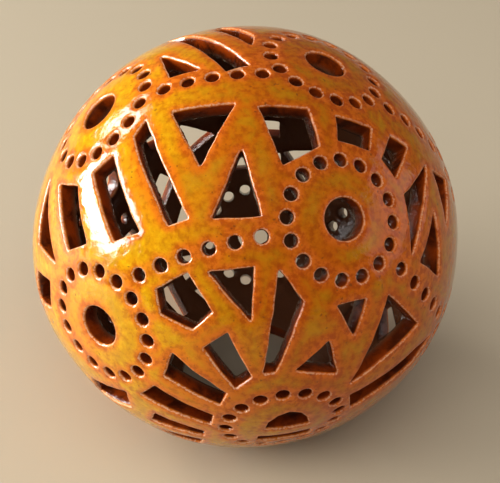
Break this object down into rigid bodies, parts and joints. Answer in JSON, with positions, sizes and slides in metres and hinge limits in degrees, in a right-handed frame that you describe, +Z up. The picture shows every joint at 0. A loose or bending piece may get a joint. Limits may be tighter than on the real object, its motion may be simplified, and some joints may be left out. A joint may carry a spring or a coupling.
{
  "type": "pierced ceramic lantern ball",
  "caption": "Hollow ball of glazed ceramic, pierced with rings of dots, round eyes and hand-cut windows, on a small flat foot with a round mouth for a lamp.",
  "frame": {"origin": "bottom centre of the ball, in the plane of its flat foot", "axes": "+Z up; -Y is the front that the picture shows from above; -Z is the way the foot faces"},
  "size_m": [0.1398, 0.1399, 0.1346],
  "materials": {
    "glaze": "glossy orange glaze, yellower where thick and redder at the cut edges"
  },
  "bodies": {
    "root": {"pierced_ball": "glaze"}
  },
  "joints": []
}
